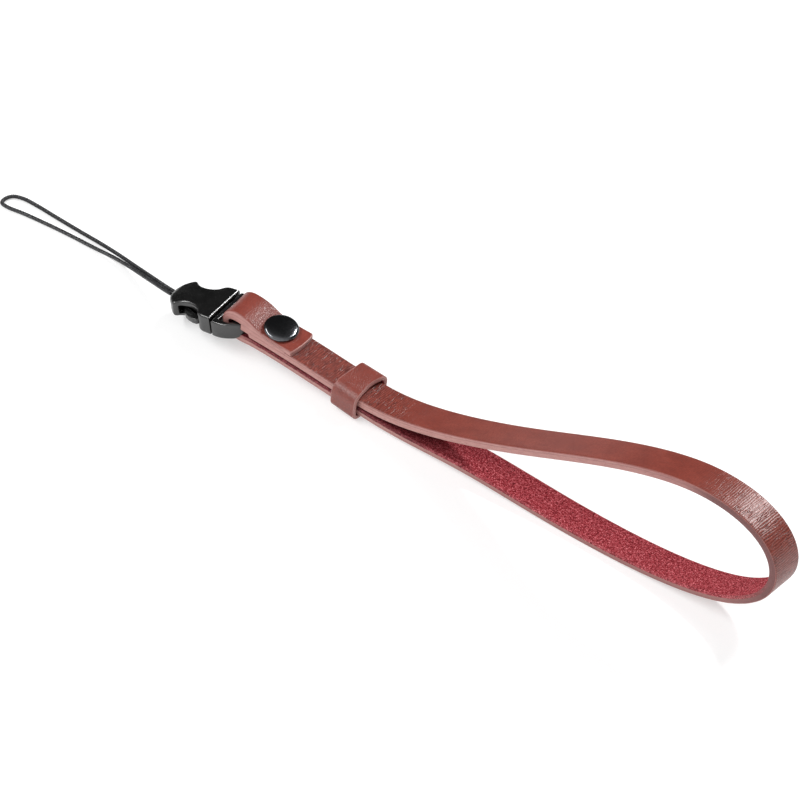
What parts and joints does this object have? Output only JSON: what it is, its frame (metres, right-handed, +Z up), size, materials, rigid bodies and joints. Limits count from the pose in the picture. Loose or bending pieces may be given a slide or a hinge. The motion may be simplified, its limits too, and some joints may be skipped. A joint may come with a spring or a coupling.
{
  "type": "camera wrist strap",
  "caption": "Folded leather strip forming a wrist loop through a keeper, snapped round the end bar of a small side-release buckle that carries a doubled thin cord.",
  "frame": {"origin": "centre of the footprint on the surface that the strap lies on, measured without the cord", "axes": "+X along the strap from the buckle to the nose of the wrist loop, +Y across its width, +Z up"},
  "size_m": [0.2855, 0.0156, 0.0429],
  "materials": {
    "leather": "smooth red-brown grain outside, crimson suede inside, painted dusty pink edges",
    "snap_metal": "gloss black enamel",
    "buckle_plastic": "moulded black, finely grained top",
    "cord": "black braid"
  },
  "bodies": {
    "root": {"strap": "leather", "keeper": "leather", "snap_cap": "snap_metal", "snap_stud": "snap_metal", "buckle_socket": "buckle_plastic", "buckle_plug": "buckle_plastic", "cord_loop": "cord"}
  },
  "joints": []
}
